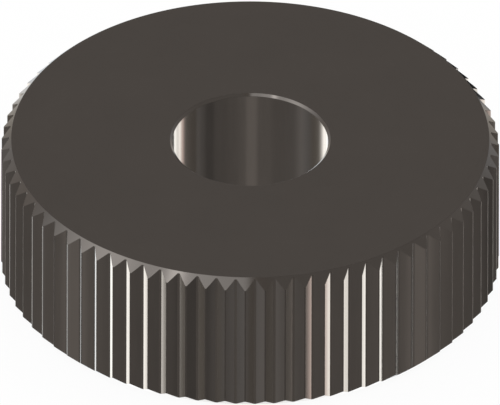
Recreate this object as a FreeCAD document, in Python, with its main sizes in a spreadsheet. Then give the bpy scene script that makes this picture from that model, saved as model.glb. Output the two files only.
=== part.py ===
import FreeCAD, Part
import Sketcher
import math
import os

# Knurling wheel: a hardened steel ring whose straight teeth press ridges into turned work.
# It is one piece. Millimetres, +Z along the bore, origin at the middle of the bottom face.

# Driving dimensions: name, value, what it measures.
SIZES = [
    ("wheel_diameter", 25.4, "over the tooth crests"),
    ("face_width", 7.94, "from flat face to flat face"),
    ("bore_diameter", 7.94, "runs on the pin of the knurl holder"),
    ("rim_chamfer", 0.51, "leg of the 45 degree chamfer at both ends of the teeth"),
    ("bore_chamfer", 0.13, "leg of the 45 degree chamfer at both ends of the bore"),
    ("tooth_count", 78, "straight teeth round the rim"),
    ("tooth_angle", 88, "degrees between the two flanks of a tooth"),
    ("crest_land", 0.02, "flat left along the top of each tooth"),
    ("root_flat", 0.15, "flat along the bottom of each tooth space"),
]

# How far past the rim a tooth space is drawn, so that its cut leaves no skin there.
CUTTER_RUNOUT = 1.0

# A tooth space seen along the bore, with its middle line on the X axis.
# At the rim it spans one pitch less a crest land. A flank leans from the middle line of
# its own tooth by half the tooth angle, so from that of the space by half a pitch more.
RIM_RADIUS = "(Sizes.wheel_diameter / 2)"
HALF_PITCH = "(180 deg / Sizes.tooth_count)"
HALF_MOUTH = f"({HALF_PITCH} - asin(Sizes.crest_land / Sizes.wheel_diameter))"
FLANK_LEAN = f"(Sizes.tooth_angle * 1 deg / 2 + {HALF_PITCH})"
TOOTH_DEPTH = f"(({RIM_RADIUS} * sin({HALF_MOUTH}) - Sizes.root_flat / 2) / tan({FLANK_LEAN}))"
ROOT_RADIUS = f"{RIM_RADIUS} * cos({HALF_MOUTH}) - {TOOTH_DEPTH}"

# The sketcher's numbers for points of a line or circle, for the origin and for the X axis.
START, END, CENTRE = 1, 2, 3
ORIGIN = (-1, START)
X_AXIS = -1


def size_sheet(doc):
    """Spreadsheet with one named row for each driving dimension."""
    sheet = doc.addObject("Spreadsheet::Sheet", "Sizes")
    for row, (name, value, meaning) in enumerate(SIZES, start=1):
        sheet.set(f"A{row}", name)
        sheet.set(f"B{row}", str(value))
        sheet.setAlias(f"B{row}", name)
        sheet.set(f"C{row}", meaning)
    doc.recompute()
    return sheet


def origin_part(body, role):
    """Plane or axis of the body's own origin."""
    return next(part for part in body.Origin.OriginFeatures if part.Role == role)


def sketch_on_bottom_plane(body, name):
    """Empty sketch in the plane of the bottom face."""
    sketch = body.newObject("Sketcher::SketchObject", name)
    sketch.AttachmentSupport = [(origin_part(body, "XY_Plane"), "")]
    sketch.MapMode = "FlatFace"
    return sketch


def dimension(sketch, name, expression, *constraint):
    """Named dimension whose value follows the size sheet."""
    index = sketch.addConstraint(Sketcher.Constraint(*constraint))
    sketch.renameConstraint(index, name)
    sketch.setExpression(f"Constraints.{name}", expression)


def pairs_round(items):
    """Each item with the one after it, and the last with the first."""
    return zip(items, items[1:] + items[:1])


def plain_ring(body, sheet):
    """Rim and bore as two circles about the origin, padded to the face width."""
    sketch = sketch_on_bottom_plane(body, "RingSection")
    for name in ("wheel_diameter", "bore_diameter"):
        diameter = getattr(sheet, name)
        outline = Part.Circle(FreeCAD.Vector(0, 0, 0), FreeCAD.Vector(0, 0, 1), diameter / 2)
        circle = sketch.addGeometry(outline, False)
        sketch.addConstraint(Sketcher.Constraint("Coincident", circle, CENTRE, *ORIGIN))
        dimension(sketch, name, f"Sizes.{name}", "Diameter", circle, diameter)
    ring = body.newObject("PartDesign::Pad", "Ring")
    ring.Profile = sketch
    ring.setExpression("Length", "Sizes.face_width")
    return ring


def chamfer_at_diameter(body, name, base, diameter, leg):
    """45 degree chamfer on both edges of the ring that have this diameter."""
    body.Document.recompute()
    edges = [
        f"Edge{number}"
        for number, edge in enumerate(base.Shape.Edges, start=1)
        if isinstance(edge.Curve, Part.Circle) and math.isclose(2 * edge.Curve.Radius, diameter)
    ]
    chamfer = body.newObject("PartDesign::Chamfer", name)
    chamfer.Base = (base, edges)
    chamfer.setExpression("Size", f"Sizes.{leg}")
    return chamfer


def tooth_space(body, sheet):
    """One V groove along the rim, cut from face to face and through both chamfers."""
    # The outline is drawn near its place, and the four dimensions then set it.
    rim = sheet.wheel_diameter / 2
    root, mouth = rim - sheet.rim_chamfer, rim + CUTTER_RUNOUT
    half_root = sheet.root_flat / 2
    half_mouth = half_root + mouth - root
    sketch = sketch_on_bottom_plane(body, "ToothSpaceSection")
    corners = [
        FreeCAD.Vector(root, half_root, 0),
        FreeCAD.Vector(mouth, half_mouth, 0),
        FreeCAD.Vector(mouth, -half_mouth, 0),
        FreeCAD.Vector(root, -half_root, 0),
    ]
    for corner, next_corner in pairs_round(corners):
        sketch.addGeometry(Part.LineSegment(corner, next_corner), False)
    upper_flank, mouth_line, lower_flank, root_line = range(4)
    for line, next_line in pairs_round([upper_flank, mouth_line, lower_flank, root_line]):
        sketch.addConstraint(Sketcher.Constraint("Coincident", line, END, next_line, START))
    for line in (mouth_line, root_line):
        sketch.addConstraint(Sketcher.Constraint("Symmetric", line, START, line, END, X_AXIS))
    dimension(sketch, "root_flat", "Sizes.root_flat",
              "DistanceY", root_line, START, root_line, END, sheet.root_flat)
    dimension(sketch, "root_radius", ROOT_RADIUS,
              "DistanceX", *ORIGIN, root_line, END, root)
    dimension(sketch, "mouth_radius", f"{RIM_RADIUS} + {CUTTER_RUNOUT}",
              "DistanceX", *ORIGIN, mouth_line, START, mouth)
    dimension(sketch, "flank_lean", FLANK_LEAN,
              "Angle", upper_flank, math.atan2(half_mouth - half_root, mouth - root))
    groove = body.newObject("PartDesign::Pocket", "ToothSpace")
    groove.Profile = sketch
    groove.Type = "ThroughAll"
    groove.Reversed = True
    return groove


def ring_of_spaces(body, groove):
    """The groove repeated once for each tooth, all the way round the bore."""
    pattern = body.newObject("PartDesign::PolarPattern", "ToothSpaces")
    pattern.Originals = [groove]
    pattern.Axis = (origin_part(body, "Z_Axis"), [""])
    pattern.Angle = 360
    pattern.setExpression("Occurrences", "Sizes.tooth_count")
    return pattern


def knurling_wheel(doc, sheet):
    """The whole wheel: ring, chamfers at the bore and the rim, then the teeth."""
    body = doc.addObject("PartDesign::Body", "knurling_wheel")
    body.Label = "knurling_wheel"
    ring = plain_ring(body, sheet)
    bored = chamfer_at_diameter(body, "BoreChamfer", ring, sheet.bore_diameter, "bore_chamfer")
    blank = chamfer_at_diameter(body, "RimChamfer", bored, sheet.wheel_diameter, "rim_chamfer")
    groove = tooth_space(body, sheet)
    body.Tip = ring_of_spaces(body, groove)
    doc.recompute()
    print("volume of the blank", round(blank.Shape.Volume, 2))
    print("volume with one groove", round(groove.Shape.Volume, 2))
    print("volume of the wheel", round(body.Shape.Volume, 2))
    return body


def check_and_write(doc, bodies):
    """Stops on any failed feature or bad shape, then writes one file for each body."""
    for item in doc.Objects:
        if "Invalid" in item.State or "Error" in item.State:
            raise RuntimeError(f"{item.Label} failed: {item.State}")
    for body in bodies:
        if body.Shape.isNull() or not body.Shape.isValid():
            raise RuntimeError(f"{body.Label} has no valid shape")
    os.makedirs("parts", exist_ok=True)
    for body in bodies:
        body.Shape.exportStep(f"parts/{body.Label}.step")


doc = FreeCAD.newDocument("KnurlingWheel")
sheet = size_sheet(doc)
wheel = knurling_wheel(doc, sheet)
check_and_write(doc, [wheel])
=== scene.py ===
# %% [markdown]
# # A knurling wheel in dark tool steel
# A knurling wheel is a small hardened ring with straight V teeth round its rim. A lathe presses it
# into turning work, and the teeth leave ridges that a hand can grip. The real one is a single
# piece: a disc is bored, its edges are chamfered, the teeth are cut through the chamfers, the flat
# faces are ground, and the hardened wheel is blackened last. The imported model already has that
# shape with sharp edges. This lesson makes the surface that the eye sees: the same form with its
# edges broken, a finish for each way that the steel was worked, and a light tent to see them in.

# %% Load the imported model
import math

import bpy
import numpy as np
from mathutils import Matrix


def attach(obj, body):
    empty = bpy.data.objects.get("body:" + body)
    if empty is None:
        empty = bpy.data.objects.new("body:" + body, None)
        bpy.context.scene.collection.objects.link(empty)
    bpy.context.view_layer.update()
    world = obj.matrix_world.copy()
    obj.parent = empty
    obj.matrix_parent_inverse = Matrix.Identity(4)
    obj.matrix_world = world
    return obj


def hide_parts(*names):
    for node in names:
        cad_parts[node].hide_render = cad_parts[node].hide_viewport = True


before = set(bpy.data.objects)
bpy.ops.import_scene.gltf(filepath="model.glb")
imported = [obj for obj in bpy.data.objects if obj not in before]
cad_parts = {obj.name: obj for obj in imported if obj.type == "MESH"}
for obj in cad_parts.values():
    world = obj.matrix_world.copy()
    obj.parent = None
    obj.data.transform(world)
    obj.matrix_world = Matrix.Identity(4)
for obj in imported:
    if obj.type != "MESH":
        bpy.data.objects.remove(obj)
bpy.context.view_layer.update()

MM = 0.001
packed_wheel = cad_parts["knurling_wheel"]
places = np.empty(3 * len(packed_wheel.data.vertices))
packed_wheel.data.vertices.foreach_get("co", places)
place_x, place_y, height = places.reshape(-1, 3).T
radius = np.hypot(place_x, place_y)
bearing = np.arctan2(place_x, -place_y)
print(f"the packed wheel has {len(radius)} vertices")

# %% [markdown]
# ## Reading the wheel's sizes
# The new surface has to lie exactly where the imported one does, so nothing is typed in twice: every
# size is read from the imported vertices. Each vertex is described by its radius, its height and its
# bearing, the angle round the bore from the -Y side. On a turned part those three say almost
# everything: the bore is the smallest radius, the rim the largest, and the vertices at full height
# belong to the flat face.

# %% Read the turned sizes
SAME = 0.001 * MM
wheel_width = height.max()
bore_radius = radius.min()
rim_radius = radius.max()
on_face = radius[height > wheel_width - SAME]
face_inside = on_face.min()
face_outside = on_face.max()
bore_chamfer = face_inside - bore_radius
rim_chamfer = rim_radius - face_outside
rim_drop = height[radius > rim_radius - SAME].min()
print(f"width {wheel_width / MM:.3f} mm, bore radius {bore_radius / MM:.3f} mm")
print(f"rim radius {rim_radius / MM:.3f} mm, flat face out to {face_outside / MM:.3f} mm")
print(f"bore chamfer {bore_chamfer / MM:.3f} mm, rim chamfer {rim_chamfer / MM:.3f} mm")

# %% [markdown]
# ## Counting the teeth
# A tooth has a narrow flat land along its crest, and a tooth space has one along its root. The
# vertices at such a radius come in close pairs with wide gaps between them. Counting the wide gaps
# counts the teeth, and one pitch less a wide gap is the angle that the land itself spans.


# %% Read the teeth
def lands_at(level):
    """How many lands have their edges at this radius, and the angle that each of them spans."""
    edges = np.sort(bearing[np.abs(radius - level) < SAME])
    gaps = np.diff(edges, append=edges[0] + 2 * np.pi)
    wide = gaps[gaps > gaps.max() / 2]
    return len(wide), 2 * np.pi / len(wide) - wide.mean()


root_radius = radius[radius > face_outside + SAME].min()
tooth_count, crest_angle = lands_at(rim_radius)
space_count, root_angle = lands_at(root_radius)
print(f"{tooth_count} teeth and {space_count} spaces")
print(f"{(rim_radius - root_radius) / MM:.3f} mm deep")
print(f"crest land {crest_angle * rim_radius / MM:.3f} mm")
print(f"root land {root_angle * root_radius / MM:.3f} mm")

# %% [markdown]
# ## Breaking a sharp corner
# No real edge is perfectly sharp. Deburring leaves a tiny arc, and that arc is what catches the
# light as a thin line. A Bevel modifier could make it, but here 78 teeth run out into a chamfer,
# and its mitres get untidy. So the arc is computed: it touches both sides of the corner, and its
# points are worked out for a whole array of corners at once. The direction from the arc's centre
# to each point is kept too, because it is exactly the surface normal there.


# %% Round the corners of an outline
def round_corners(corners, radii, steps):
    """Points and outward normals of a closed outline whose corners are rounded.

    corners has the shape (..., corners, 2). With u and v the unit directions from a corner to its
    two neighbours, and h half the angle between them, the arc's centre lies radius / sin(h) along
    their bisector, and the arc touches the sides radius / tan(h) from the corner. Its points turn
    evenly from one touching point to the other. A corner bulges outwards where the outline turns
    there the way that it runs round as a whole, which the sign of its area tells.
    """
    before = np.roll(corners, 1, axis=-2) - corners
    after = np.roll(corners, -1, axis=-2) - corners
    u = before / np.linalg.norm(before, axis=-1, keepdims=True)
    v = after / np.linalg.norm(after, axis=-1, keepdims=True)
    half = np.arccos((u * v).sum(-1, keepdims=True)) / 2
    bisector = (u + v) / np.linalg.norm(u + v, axis=-1, keepdims=True)
    radii = np.broadcast_to(radii, corners.shape[:-1])[..., None]
    centre = corners + bisector * radii / np.sin(half)
    first = (corners + u * radii / np.tan(half) - centre)[..., None, :]
    last = (corners + v * radii / np.tan(half) - centre)[..., None, :]
    turn = (np.pi - 2 * half)[..., None, :]
    share = np.linspace(0, 1, steps)[:, None]
    arc = (np.sin((1 - share) * turn) * first + np.sin(share * turn) * last) / np.sin(turn)
    following = np.roll(corners, -1, axis=-2)
    area = (corners[..., 0] * following[..., 1] - corners[..., 1] * following[..., 0]).sum(-1)
    bulge = np.sign(u[..., 1] * v[..., 0] - u[..., 0] * v[..., 1]) * np.sign(area)[..., None]
    points = centre[..., None, :] + arc
    normals = arc / radii[..., None, :] * bulge[..., None, None]
    together = corners.shape[:-2] + (corners.shape[-2] * steps, 2)
    return points.reshape(together), normals.reshape(together)


square = np.array([(0, 0), (0, 1), (1, 1), (1, 0)], float)
rounded, _ = round_corners(square, 0.25, 9)
print(f"a unit square with its corners rounded is {np.ptp(rounded, axis=0)} across")

# %% [markdown]
# ## The outline of the teeth
# Seen along the bore, the rim is a closed zigzag: a crest land, a flank down, a root land and a
# flank up, 78 times. Four corners given by bearing and radius make one tooth, and adding a pitch to
# the bearings repeats it. Seen closely, the flanks of the real wheel stand out a little from the
# packed ones, by 0.022 mm measured round the bore. So FLANK_SHIFT makes the crest land wider and
# the root land narrower. Both are then rounded: the crest from wear, the root by the nose of the
# cutter.
#
# Lapping takes a few micrometres more off a flank's ends than off its middle. So each flank has one
# more corner at its middle, pushed out a little, and a wide arc over the middle CROWN_SPAN of the
# flank rounds it. This crown is far too low to see as a shape, but it makes the light fade across
# each flank.

# %% Draw the tooth outline
ARC_STEPS = 5
FLANK_SHIFT = 0.022 * MM
CREST_ROUNDING = 0.03 * MM
ROOT_ROUNDING = 0.04 * MM
CROWN_TILT = math.radians(1.6)
CROWN_SPAN = 0.72

pitch = 2 * np.pi / tooth_count
half_crest = crest_angle / 2 + FLANK_SHIFT / rim_radius
half_root = root_angle / 2 - FLANK_SHIFT / root_radius


def at_bearing(bearings, radii):
    """Points seen along the bore, from their bearings and radii."""
    return np.stack([radii * np.sin(bearings), -radii * np.cos(bearings)], axis=-1)


def crown(start, end):
    """The middle of a flank, pushed out of the steel so that each half tilts by CROWN_TILT."""
    along = end - start
    out_of_steel = np.stack([along[..., 1], -along[..., 0]], axis=-1)
    return (start + end) / 2 + np.tan(CROWN_TILT) / 2 * out_of_steel


lands = at_bearing(pitch * np.arange(tooth_count)[:, None]
                   + [-half_crest, half_crest, pitch / 2 - half_root, pitch / 2 + half_root],
                   np.array([rim_radius, rim_radius, root_radius, root_radius]))
next_crest = np.roll(lands[:, 0], -1, axis=0)
falling = crown(lands[:, 1], lands[:, 2])
rising = crown(lands[:, 3], next_crest)
zigzag = np.stack([lands[:, 0], lands[:, 1], falling, lands[:, 2], lands[:, 3], rising], axis=1)
zigzag = zigzag.reshape(-1, 2)
flank_length = np.linalg.norm(lands[0, 2] - lands[0, 1])
crown_rounding = CROWN_SPAN / 2 * flank_length / np.tan(CROWN_TILT)
corner_rounding = np.tile([CREST_ROUNDING, CREST_ROUNDING, crown_rounding,
                           ROOT_ROUNDING, ROOT_ROUNDING, crown_rounding], tooth_count)
outline, outline_normal = round_corners(zigzag, corner_rounding, ARC_STEPS)

rim_reach = np.linalg.norm(outline, axis=1)
outward = outline / rim_reach[:, None]
around = np.stack([-outward[:, 1], outward[:, 0]], axis=1)
print(f"the tooth outline has {len(outline)} points")

# %% [markdown]
# ## One section for each point of the outline
# Cut the wheel by a half plane through the bore's axis and the section is an octagon: bore, small
# chamfer, flat face, big chamfer, tooth, and the same back again. Only the tooth's reach changes
# with the bearing, and the big chamfer is a cone, so a section that reaches less meets it nearer to
# the flat face. That one rule makes the saw edge where the teeth run out into the chamfer. The
# teeth are cut after the chamfers, and only deburred, so that edge keeps a smaller rounding.

# %% Draw the sections
EDGE_ROUNDING = np.array([0.03, 0.03, 0.03, 0.03, 0.012, 0.012, 0.03, 0.03]) * MM
SECTION_STEPS = 4

rim_fall = (rim_reach - face_outside) * rim_drop / rim_chamfer
section_radius = [bore_radius, bore_radius, face_inside, face_outside,
                  rim_reach, rim_reach, face_outside, face_inside]
section_height = [bore_chamfer, wheel_width - bore_chamfer, wheel_width, wheel_width,
                  wheel_width - rim_fall, rim_fall, 0, 0]
octagons = np.stack([np.stack(np.broadcast_arrays(*section_radius), axis=-1),
                     np.stack(np.broadcast_arrays(*section_height), axis=-1)], axis=-1)
section, section_normal = round_corners(octagons, EDGE_ROUNDING, SECTION_STEPS)
print(f"{len(section)} sections of {section.shape[1]} points")

# %% [markdown]
# ## The whole surface as one closed grid
# Setting the sections side by side gives a grid that closes both ways, like a ring doughnut with
# corners. Smooth shading would normally average the directions of neighbouring faces, and a sliver
# beside a wide flat face would then bend the light across the whole face. Here the exact normal is
# known, so it is worked out and handed to the mesh: it is square to the section, and it leans round
# the bore just enough to be square to the zigzag as well.

# %% Work out points and normals
reach_slope = -rim_reach * (outline_normal * around).sum(1) / (outline_normal * outward).sum(1)
radius_follows = np.repeat([0, 0, 0, 0, 1, 1, 0, 0], SECTION_STEPS)
height_follows = np.repeat([0, 0, 0, 0, -1, 1, 0, 0], SECTION_STEPS) * rim_drop / rim_chamfer


def on_axes(along_outward, along_around, along_height):
    """The grid's vectors from their parts outwards from the bore, round the bore and up."""
    flat = along_outward[..., None] * outward[:, None] + along_around[..., None] * around[:, None]
    return np.concatenate([flat, along_height[..., None]], axis=-1)


section_reach, section_up = section[..., 0], section[..., 1]
normal_out, normal_up = section_normal[..., 0], section_normal[..., 1]
follows = normal_out * radius_follows + normal_up * height_follows
lean = -follows * reach_slope[:, None] / section_reach
grid_points = on_axes(section_reach, np.zeros_like(section_reach), section_up)
grid_normals = on_axes(normal_out, lean, normal_up)
grid_normals /= np.linalg.norm(grid_normals, axis=-1, keepdims=True)
print(f"{grid_points.shape[0]} by {grid_points.shape[1]} points")

# %% [markdown]
# ## Where shade and highlights are painted
# Blackening leaves a thin dark oxide on the steel, sealed with oil. Edges broken with a stone are
# rougher than the flats beside them and get painted shade that dims their highlights, so the
# materials need to know where the edges are. Each point carries a number, 1 in the middle of a
# rounded edge and 0 where it meets a flat. Across a section it rises and falls along each arc. Along
# a crest it follows how far the normal has turned from the flank's lean towards straight out, and it
# fades where the crest runs out into a chamfer. A second number marks the floors of the tooth spaces
# in the same way, for painted shade and more roughness there. A third marks four crests that get a
# painted highlight. They are counted backwards from the crest on the -Y side.

# %% Mark edges, floors and crests for painted shade and highlights
HIGHLIGHTED_CRESTS = [-10, -12, -13, -16]

arc_share = np.linspace(0, 1, SECTION_STEPS)
section_edge = np.tile(4 * arc_share * (1 - arc_share), section.shape[1] // SECTION_STEPS)
on_tooth = np.concatenate([np.zeros(4 * SECTION_STEPS), arc_share, 1 - arc_share,
                           np.zeros(2 * SECTION_STEPS)])
facing_out = (outline_normal * outward).sum(1)
near_crest = rim_reach > (rim_radius + root_radius) / 2


def turned_out(first_point):
    """How far each normal has turned from its lean at first_point towards straight out, 0 to 1."""
    lean_there = facing_out[first_point]
    return np.clip((facing_out - lean_there) / (1 - lean_there), 0, 1)


FIRST_OF_CREST, FIRST_OF_ROOT = 0, 3 * ARC_STEPS
crest_edge = np.where(near_crest, turned_out(FIRST_OF_CREST), 0)
root_floor = np.where(near_crest, 0, turned_out(FIRST_OF_ROOT))
broken = 1 - (1 - section_edge) * (1 - crest_edge[:, None] * on_tooth)
# Painted shade on the floors of the tooth spaces: this number darkens their colour and raises their
# roughness.
painted_shade_in_roots = root_floor[:, None] * on_tooth
# Painted highlight: four crests are marked to take a pale colour.
highlighted_crest = np.zeros(tooth_count)
highlighted_crest[HIGHLIGHTED_CRESTS] = 1
highlighted_crest = np.repeat(highlighted_crest, len(outline) // tooth_count)
crest_highlight = (highlighted_crest * np.clip(2 * crest_edge, 0, 1))[:, None] * on_tooth
print(f"{(broken > 0.5).mean():.0%} of the points lie well inside a broken edge, "
      f"{(painted_shade_in_roots > 0.5).mean():.0%} on the floor of a tooth space")

# %% [markdown]
# ## Turning the grid into a mesh
# Each face joins a column to the next and a row to the next, and the last ones join the first, so
# the surface has no seam. The faces between two corners of the section belong to one worked
# surface, so a row's number says which finish its faces take.

# %% Build the mesh
FINISHES = ["turned_edge", "ground_face", "tooth_flank", "reamed_bore"]
BAND_FINISH = ["reamed_bore", "turned_edge", "ground_face", "turned_edge",
               "tooth_flank", "turned_edge", "ground_face", "turned_edge"]

columns, rows = section.shape[:2]
index = np.arange(columns * rows).reshape(columns, rows)
next_column = np.roll(index, -1, axis=0)
next_row = np.roll(index, -1, axis=1)
next_both = np.roll(next_column, -1, axis=1)
faces = np.stack([index, next_row, next_both, next_column], axis=-1).reshape(-1, 4)
band = np.tile(np.arange(rows) // SECTION_STEPS, columns)
finish_number = np.array([FINISHES.index(name) for name in BAND_FINISH])

mesh = bpy.data.meshes.new("toothed_ring")
mesh.from_pydata(grid_points.reshape(-1, 3).tolist(), [], faces.tolist(), shade_flat=False)
mesh.polygons.foreach_set("material_index", finish_number[band])
mesh.normals_split_custom_set_from_vertices(grid_normals.reshape(-1, 3).tolist())
for name, values in (("broken_edge", broken), ("painted_shade_in_roots", painted_shade_in_roots), ("painted_crest_highlight", crest_highlight)):
    attribute = mesh.attributes.new(name, "FLOAT", "POINT")
    attribute.data.foreach_set("value", values.ravel().astype(np.float32))

wheel = bpy.data.objects.new("toothed_ring", mesh)
bpy.context.scene.collection.objects.link(wheel)
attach(wheel, "root")
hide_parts("knurling_wheel")
print(f"the wheel has {2 * len(faces)} triangles")
print(f"checking the mesh changed something: {mesh.validate()}")

# %% [markdown]
# ## Small helpers for node trees
# Materials and the light are both networks of nodes. These helpers add one node and return its
# output, so that a formula reads from left to right as it would on paper. An input may be a plain
# number or the output of another node.


# %% Make nodes by short calls
def connect(tree, value, socket):
    """Links an output to the socket, or writes a plain value on it."""
    if isinstance(value, bpy.types.NodeSocket):
        tree.links.new(value, socket)
    else:
        socket.default_value = value


def add_node(tree, kind, inputs=(), output=0, **settings):
    """Adds a node with its settings and its inputs, by name or number, and returns an output."""
    node = tree.nodes.new(kind)
    for name, value in settings.items():
        setattr(node, name, value)
    for name, value in dict(inputs).items():
        connect(tree, value, node.inputs[name])
    return node.outputs[output]


def calculate(tree, operation, first, second=0.0):
    """A Math node: the operation's result for the two values."""
    return add_node(tree, "ShaderNodeMath", {0: first, 1: second}, operation=operation)


def spread(tree, value, low_end, high_end):
    """The value, from 0 to 1, carried over to the range from low_end to high_end."""
    ends = {"To Min": low_end, "To Max": high_end}
    return add_node(tree, "ShaderNodeMapRange", {"Value": value, **ends})


def mix_colours(tree, factor, first, second):
    """The first colour where the factor is 0, and the second where it is 1.

    A Mix node has sockets for numbers, vectors and colours. Inputs 6 and 7 and output 2 are the
    ones for colours.
    """
    inputs = {"Factor": factor, 6: first, 7: second}
    return add_node(tree, "ShaderNodeMix", inputs, 2, data_type="RGBA")


def split(tree, vector):
    """The X, Y and Z of a vector, as three outputs."""
    parts = tree.nodes.new("ShaderNodeSeparateXYZ")
    connect(tree, vector, parts.inputs[0])
    return parts.outputs


print("node helpers ready")

# %% [markdown]
# ## Grain that follows the tool
# Every cutting and grinding tool leaves fine parallel marks along the way that it moved. A noise
# texture makes such marks when it is squeezed hard across them and hardly at all along them. On a
# turned or ground face the marks run round the bore, so the noise reads the radius at a large scale
# and the direction from the centre at a small one. Reading the direction as a point on the unit
# circle, and not as an angle, leaves no seam where the angle would jump.


# %% Lay out the marks
def marks_round_the_bore(tree, marks_per_mm, breaks):
    """Noise coordinates for marks round the bore: breaks is how often they fade on the way."""
    x, y, z = split(tree, add_node(tree, "ShaderNodeTexCoord", output="Object"))
    from_axis = add_node(tree, "ShaderNodeCombineXYZ", {"X": x, "Y": y})
    reach = add_node(tree, "ShaderNodeVectorMath", {0: from_axis}, "Value", operation="LENGTH")
    direction = add_node(tree, "ShaderNodeVectorMath", {0: from_axis}, operation="NORMALIZE")
    slow = add_node(tree, "ShaderNodeVectorMath", {0: direction, "Scale": breaks},
                    operation="SCALE")
    across = calculate(tree, "MULTIPLY", calculate(tree, "ADD", reach, z), marks_per_mm / MM)
    fast = add_node(tree, "ShaderNodeCombineXYZ", {"Z": across})
    return add_node(tree, "ShaderNodeVectorMath", {0: slow, 1: fast}, operation="ADD")


def marks_along_the_teeth(tree, marks_per_mm, breaks):
    """Noise coordinates for marks from face to face: breaks is how often they fade in 1 mm."""
    position = add_node(tree, "ShaderNodeTexCoord", output="Object")
    scale = (marks_per_mm / MM, marks_per_mm / MM, breaks / MM)
    return add_node(tree, "ShaderNodeMapping", {"Vector": position, "Scale": scale})


print("mark layouts ready")

# %% [markdown]
# ## Dark tool steel
# Blackened steel is a metal with a thin dark oxide on it, so it reflects only about a twentieth of
# the light that meets it head on, a little more of the red than of the blue. It is still a metal:
# its reflections are sharp and grow bright at a glancing angle. Principled BSDF gives that with
# Metallic at 1 and a dark base colour. The three numbers that the points carry paint shade into the
# colour of the edges and of the floors of the tooth spaces, make both duller, and paint a highlight
# on four crests as a much paler colour. The tint also drifts a little, with the marks and in broad
# clouds, as an oxide does. One function makes every finish, because the steel is the same
# everywhere. What differs is the layout of the marks and how rough they leave the surface.

# %% Describe the steel
STEEL_COLOUR = (0.0524, 0.0435, 0.0369, 1)
# Painted shade for the rounded edges: darker than the steel, to dim the highlights that they catch.
EDGE_SHADE_COLOUR = (0.0350, 0.0290, 0.0250, 1)
# Painted highlight for four crests: a pale colour in place of a reflection.
CREST_HIGHLIGHT_COLOUR = (0.22, 0.21, 0.20, 1)
MARK_SHADE, MARK_DEPTH = 0.06, 0.0002 * MM
CLOUD_SHADE, CLOUDS_PER_MM = 0.05, 0.35
# The first number darkens the floors of the tooth spaces as painted shade; the second raises their
# roughness.
ROOT_PAINTED_SHADE, ROOT_DULLNESS = 0.8, 0.3
EDGE_DULLNESS = 0.4


def carried(tree, name):
    """The number of that name that the mesh's points carry."""
    return add_node(tree, "ShaderNodeAttribute", output="Fac", attribute_name=name)


def dark_steel(name, lay_out, marks_per_mm, breaks, smooth, rough):
    """Tool steel with marks laid out by lay_out, which vary its roughness from smooth to rough."""
    material = bpy.data.materials.new(name)
    material.use_nodes = True
    tree = material.node_tree
    shader = tree.nodes["Principled BSDF"]
    marks = add_node(tree, "ShaderNodeTexNoise",
                     {"Vector": lay_out(tree, marks_per_mm, breaks), "Scale": 1.0, "Detail": 3.0})
    position = add_node(tree, "ShaderNodeTexCoord", output="Object")
    cloud = add_node(tree, "ShaderNodeTexNoise",
                     {"Vector": position, "Scale": CLOUDS_PER_MM / MM, "Detail": 2.0})
    edge, root = carried(tree, "broken_edge"), carried(tree, "painted_shade_in_roots")

    shade = calculate(tree, "ADD", spread(tree, marks, -MARK_SHADE, MARK_SHADE),
                      spread(tree, cloud, -CLOUD_SHADE, CLOUD_SHADE))
    # Painted shade: the floors of the tooth spaces are darkened here.
    value = calculate(tree, "ADD", shade, spread(tree, root, 1.0, ROOT_PAINTED_SHADE))
    tinted = add_node(tree, "ShaderNodeHueSaturation", {"Color": STEEL_COLOUR, "Value": value})
    # Painted shade on the rounded edges.
    edge_shaded = mix_colours(tree, edge, tinted, EDGE_SHADE_COLOUR)
    # Painted highlight on four crests.
    colour = mix_colours(tree, carried(tree, "painted_crest_highlight"), edge_shaded, CREST_HIGHLIGHT_COLOUR)
    connect(tree, colour, shader.inputs["Base Color"])

    dull = calculate(tree, "ADD", spread(tree, root, 0.0, ROOT_DULLNESS),
                     spread(tree, edge, 0.0, EDGE_DULLNESS))
    roughness = calculate(tree, "ADD", spread(tree, marks, smooth, rough), dull)
    connect(tree, roughness, shader.inputs["Roughness"])
    bump = add_node(tree, "ShaderNodeBump",
                    {"Height": marks, "Strength": 1.0, "Distance": MARK_DEPTH})
    connect(tree, bump, shader.inputs["Normal"])
    shader.inputs["Metallic"].default_value = 1.0
    return material


finish_material = {
    # name, layout of the marks, marks in 1 mm, breaks, smoothest and roughest
    "turned_edge": dark_steel("turned_edge", marks_round_the_bore, 14, 3.0, 0.09, 0.15),
    "ground_face": dark_steel("ground_face", marks_round_the_bore, 18, 9.0, 0.16, 0.26),
    "tooth_flank": dark_steel("tooth_flank", marks_along_the_teeth, 12, 0.5, 0.12, 0.20),
    "reamed_bore": dark_steel("reamed_bore", marks_along_the_teeth, 10, 0.6, 0.12, 0.18),
}
for name in FINISHES:
    mesh.materials.append(finish_material[name])
print(f"finishes: {', '.join(FINISHES)}")

# %% [markdown]
# ## A light tent
# Polished metal shows its surroundings, so lighting it means arranging what it sees. The tent is
# plain white cloth of strength 1 all round. Cards hang in it: brighter ones are lit windows and
# darker ones are grey felt, and each hides what is behind it. A card is a patch of directions with
# soft edges, given by bearing and by elevation in degrees. Only the metal's reflections see the
# cards. The camera and the floor see plain white, so the picture's ground stays clean.

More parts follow.
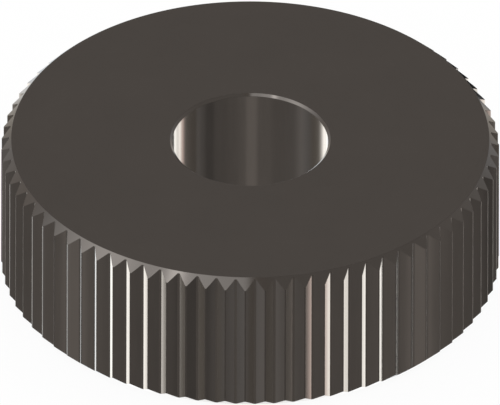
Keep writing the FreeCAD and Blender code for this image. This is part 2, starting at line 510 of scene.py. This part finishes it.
# %% Hang the cards
WHITE = (1.0, 1.0, 1.0)
CLOTH = (0.96, 1.0, 1.04)
DAYLIGHT = (0.91, 1.0, 1.09)
WARM = (1.04, 1.01, 0.95)
AMBER = (1.08, 1.01, 0.91)
ROSE = (1.18, 0.95, 0.87)
LOW = (-65, -15)
CARDS = [
    # what it is, bearings, elevations, strength, tint, softness of the edges
    ("low cloth all round", (-200, 200), LOW, 1.12, CLOTH, 8.5),
    ("low cloth in front", (-31.5, 18.5), LOW, 1.30, CLOTH, 5),
    ("slit in the low cloth", (-8.7, 7), LOW, 1.87, CLOTH, 1.2),
    ("pale strip on the left", (-87, -74), LOW, 1.63, CLOTH, 9),
    ("amber edge of the left window", (-140, -99.7), LOW, 0.65, AMBER, 10.3),
    ("low window on the left", (-162.3, -128.5), LOW, 2.53, WARM, 6.4),
    ("bright pane in it", (-145, -135.7), LOW, 3.82, WARM, 3),
    ("amber haze over the left window", (-171, -137.6), (-13, 1), 1.00, AMBER, 3),
    ("felt on the right", (34, 94), LOW, 0.99, CLOTH, 7),
    ("first dark strip on the right", (56.4, 72), LOW, 0.70, CLOTH, 3),
    ("pale strip on the right", (80.6, 90.3), LOW, 1.20, CLOTH, 3.5),
    ("second dark strip on the right", (88.6, 121.4), LOW, 0.73, WARM, 1.4),
    ("rosy edge of the right window", (119.3, 126.4), LOW, 3.56, ROSE, 4.8),
    ("low window on the right", (128.4, 158.2), LOW, 2.88, WARM, 1.2),
    ("bright pane in it", (126.4, 134.5), LOW, 5.33, WARM, 1.2),
    ("amber haze over the right window", (140, 159.6), (-13, 0), 1.02, AMBER, 2.4),
    ("black felt behind on the right", (157, 190), (-41, -13.5), 0.02, WHITE, 1.7),
    ("lit floor under the wheel", (-200, 200), (-90, -43), 1.90, WHITE, 3),
    ("high cloth on the right", (13, 153), (4, 75), 1.19, CLOTH, 4.6),
    ("pale curtain in it", (95.7, 160), (8, 32), 1.42, CLOTH, 20),
    ("high curtain on the left", (-145, -91), (2, 60), 1.56, WHITE, 13.7),
    ("bright edge of the curtain", (-114, -94), (20, 60), 2.48, DAYLIGHT, 10.6),
    ("high window in front and on the left", (-97.7, -8), (22, 80), 4.42, DAYLIGHT, 11),
    ("dim pane in it", (-18.6, 0.6), (22, 80), 3.85, DAYLIGHT, 0.5),
    ("bright pane in it", (-83.5, -62), (22, 80), 5.94, DAYLIGHT, 8),
    ("bright bar in it", (-43.8, -36), (22, 80), 9.51, DAYLIGHT, 1.2),
]

world = bpy.data.worlds.new("light_tent")
world.use_nodes = True
world.cycles.sampling_method = "NONE"
bpy.context.scene.world = world
tent = world.node_tree
direction = add_node(tent, "ShaderNodeTexCoord", output="Generated")
towards_x, towards_y, towards_z = split(tent, direction)
towards_front = calculate(tent, "MULTIPLY", towards_y, -1.0)
card_bearing = calculate(tent, "DEGREES", calculate(tent, "ARCTAN2", towards_x, towards_front))
card_elevation = calculate(tent, "DEGREES", calculate(tent, "ARCSINE", towards_z))


def ramp(value, start, end):
    """0 where the value is at start, 1 where it is at end, and smooth between them."""
    ends = {"From Min": start, "From Max": end}
    return add_node(tent, "ShaderNodeMapRange", {"Value": value, **ends},
                    interpolation_type="SMOOTHSTEP")


def inside(value, start, end, softness):
    """1 where the value is between start and end, 0 outside, and a smooth ramp at each."""
    rise = ramp(value, start - softness, start + softness)
    fall = ramp(value, end + softness, end - softness)
    return calculate(tent, "MULTIPLY", rise, fall)


light = (*WHITE, 1)
for _, bearings, elevations, strength, tint, softness in CARDS:
    cover = calculate(tent, "MULTIPLY", inside(card_bearing, *bearings, softness),
                      inside(card_elevation, *elevations, softness))
    light = mix_colours(tent, cover, light, (*(strength * part for part in tint), 1))
reflected = add_node(tent, "ShaderNodeLightPath", output="Is Glossy Ray")
seen = mix_colours(tent, reflected, (*WHITE, 1), light)
connect(tent, seen, tent.nodes["Background"].inputs["Color"])
print(f"{len(CARDS)} cards hang in the tent")

# %% [markdown]
# ## The table top
# The wheel lies on a white table that runs on into the tent without an edge. To be white in the
# picture and still keep the soft shadow under the wheel, it gives most of its white by itself and
# takes the rest from the light that reaches it. From below it is clear, so that the under side can
# be looked at too. The reflections pass through it and through the wheel, as if each tooth stood
# alone in the tent, which keeps the flanks crisp.

# %% Lay the table top
TABLE_SIZE = 8.0
TABLE_GAP = 0.02 * MM
OWN_WHITE = 0.94
LIT_WHITE = 1 - OWN_WHITE

half = TABLE_SIZE / 2
corners = [(-half, -half), (half, -half), (half, half), (-half, half)]
table_mesh = bpy.data.meshes.new("table_top")
table_mesh.from_pydata([(x, y, -TABLE_GAP) for x, y in corners], [], [(0, 1, 2, 3)])
table = bpy.data.objects.new("table_top", table_mesh)
bpy.context.scene.collection.objects.link(table)

white = bpy.data.materials.new("white_table")
white.use_nodes = True
tree = white.node_tree
tree.nodes.remove(tree.nodes["Principled BSDF"])
glow = add_node(tree, "ShaderNodeEmission", {"Strength": OWN_WHITE})
matt = add_node(tree, "ShaderNodeBsdfDiffuse", {"Color": (LIT_WHITE, LIT_WHITE, LIT_WHITE, 1)})
lit = add_node(tree, "ShaderNodeAddShader", {0: glow, 1: matt})
from_below = add_node(tree, "ShaderNodeNewGeometry", output="Backfacing")
clear = add_node(tree, "ShaderNodeBsdfTransparent")
surface = add_node(tree, "ShaderNodeMixShader", {0: from_below, 1: lit, 2: clear})
connect(tree, surface, tree.nodes["Material Output"].inputs["Surface"])
table_mesh.materials.append(white)
table.visible_glossy = False
wheel.visible_glossy = False
print(f"the table top is {TABLE_SIZE:.0f} m across")

# %% [markdown]
# ## The camera
# The photograph is isometric: edges that are parallel on the wheel stay parallel in the picture,
# and the three axes are foreshortened alike. So the camera is orthographic, and it looks down by
# 35.26 degrees, the slope of a cube's diagonal. It stands one degree beside a tooth's crest. Its
# frame is hardly wider than the wheel, and the wheel sits in it a third of a pixel low.

# %% Place the camera
FRAME_WIDTH = 25.505 * MM
ELEVATION = math.atan(1 / math.sqrt(2))
BEARING = math.radians(1.05)
ROLL = math.radians(0.14)
DISTANCE = 0.1
NEAREST, FARTHEST = 0.001, 10.0
ASIDE, ABOVE = -0.006 * MM, 0.016 * MM

camera_data = bpy.data.cameras.new("camera")
camera_data.type = "ORTHO"
camera_data.ortho_scale = FRAME_WIDTH
camera_data.clip_start, camera_data.clip_end = NEAREST, FARTHEST
camera = bpy.data.objects.new("camera", camera_data)
bpy.context.scene.collection.objects.link(camera)
bpy.context.scene.camera = camera
middle = Matrix.Translation((0, 0, wheel_width / 2))
turned = Matrix.Rotation(BEARING, 4, "Z")
tilted = Matrix.Rotation(math.pi / 2 - ELEVATION, 4, "X")
placed = Matrix.Translation((ASIDE, ABOVE, DISTANCE)) @ Matrix.Rotation(ROLL, 4, "Z")
camera.matrix_world = middle @ turned @ tilted @ placed
bpy.context.scene.view_settings.view_transform = "Standard"
print(f"the camera is at {[round(value, 3) for value in camera.matrix_world.translation]}")
